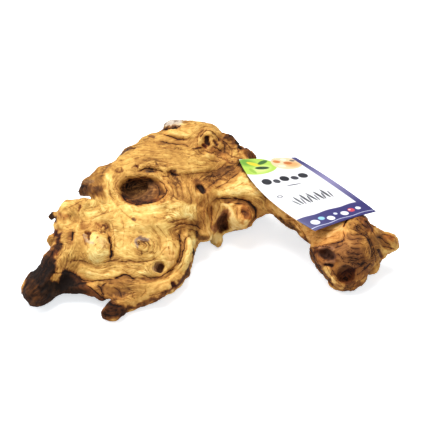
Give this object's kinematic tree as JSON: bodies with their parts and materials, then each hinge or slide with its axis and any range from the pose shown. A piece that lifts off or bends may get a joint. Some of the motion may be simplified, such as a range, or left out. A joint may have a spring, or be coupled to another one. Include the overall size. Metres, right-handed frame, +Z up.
{
  "type": "mopani driftwood piece",
  "caption": "Gnarled piece of mopani root wood with knots, hollows and an arched arm, lying on its own feet with a printed paper label across the arm.",
  "frame": {"origin": "middle of the bounding box, at the height of the ground the wood stands on", "axes": "+X along the wood's length towards its arched arm, +Y towards its high back ridge, +Z up"},
  "size_m": [0.2948, 0.191, 0.0712],
  "materials": {
    "wood": "sandblasted, unvarnished, cream to dark brown",
    "label": "coated paper card with a printed pattern"
  },
  "bodies": {
    "root": {"mopani_wood": "wood", "label_card": "label"}
  },
  "joints": []
}
